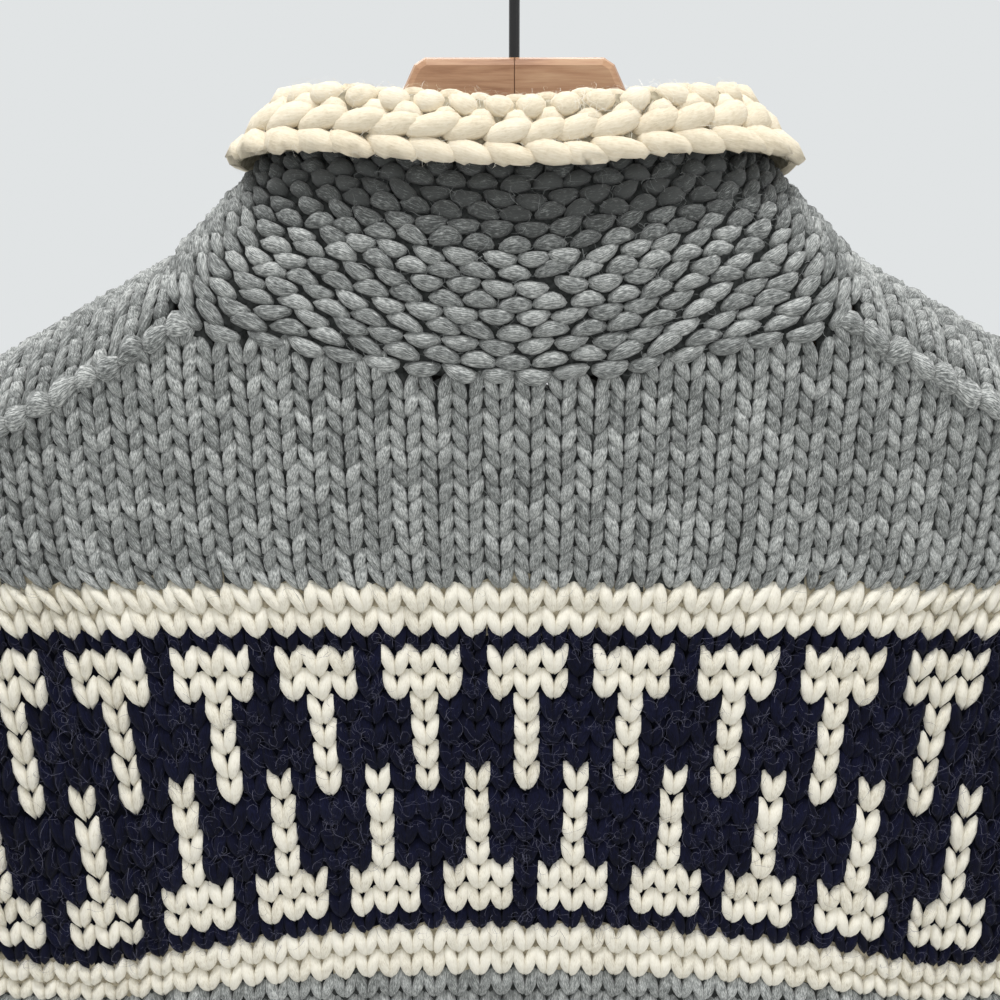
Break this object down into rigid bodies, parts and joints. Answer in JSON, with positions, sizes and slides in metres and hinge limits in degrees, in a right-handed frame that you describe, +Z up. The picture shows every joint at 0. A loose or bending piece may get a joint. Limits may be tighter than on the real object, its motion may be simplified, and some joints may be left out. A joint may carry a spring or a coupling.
{
  "type": "hand-knitted zip cardigan on a wooden hanger",
  "caption": "Chunky hand-knitted zip cardigan with a turned-over collar and a banded yoke, hanging flat on a wooden hanger with a wire hook.",
  "frame": {"origin": "inside top of the hanger's hook, where it rests on a rail", "axes": "+Z up, the garment's front faces -Y, +X is the wearer's left"},
  "size_m": [0.894, 0.1064, 0.8497],
  "materials": {
    "grey_wool": "matt heather grey bulky wool, soft halo",
    "cream_wool": "matt undyed cream bulky wool, soft halo",
    "zip_tape": "woven polyester tape",
    "zip_metal": "nickel-plated, satin",
    "hanger_wood": "satin lacquered beech",
    "hook_wire": "black, satin"
  },
  "bodies": {
    "cardigan": {"back": "grey_wool", "front_left": "grey_wool", "front_right": "grey_wool", "sleeve_left": "grey_wool", "sleeve_right": "grey_wool", "cuff_left": "grey_wool", "cuff_right": "grey_wool", "hem_back": "grey_wool", "hem_front_left": "grey_wool", "hem_front_right": "grey_wool", "collar_stand": "grey_wool", "collar_edge": "cream_wool", "zip_tape_left": "zip_tape", "zip_tape_right": "zip_tape", "zip_chain": "zip_metal", "zip_slider": "zip_metal", "hanger_arm_left": "hanger_wood", "hanger_arm_right": "hanger_wood", "hanger_hook": "hook_wire"},
    "pull_tab": {"zip_pull": "zip_metal"}
  },
  "joints": [
    {"name": "pull_swing", "type": "hinge", "parent": "cardigan", "child": "pull_tab", "pos_m": [0, -0.0476, -0.27705], "axis": [-1, 0, 0], "range_deg": [0, 150]}
  ]
}
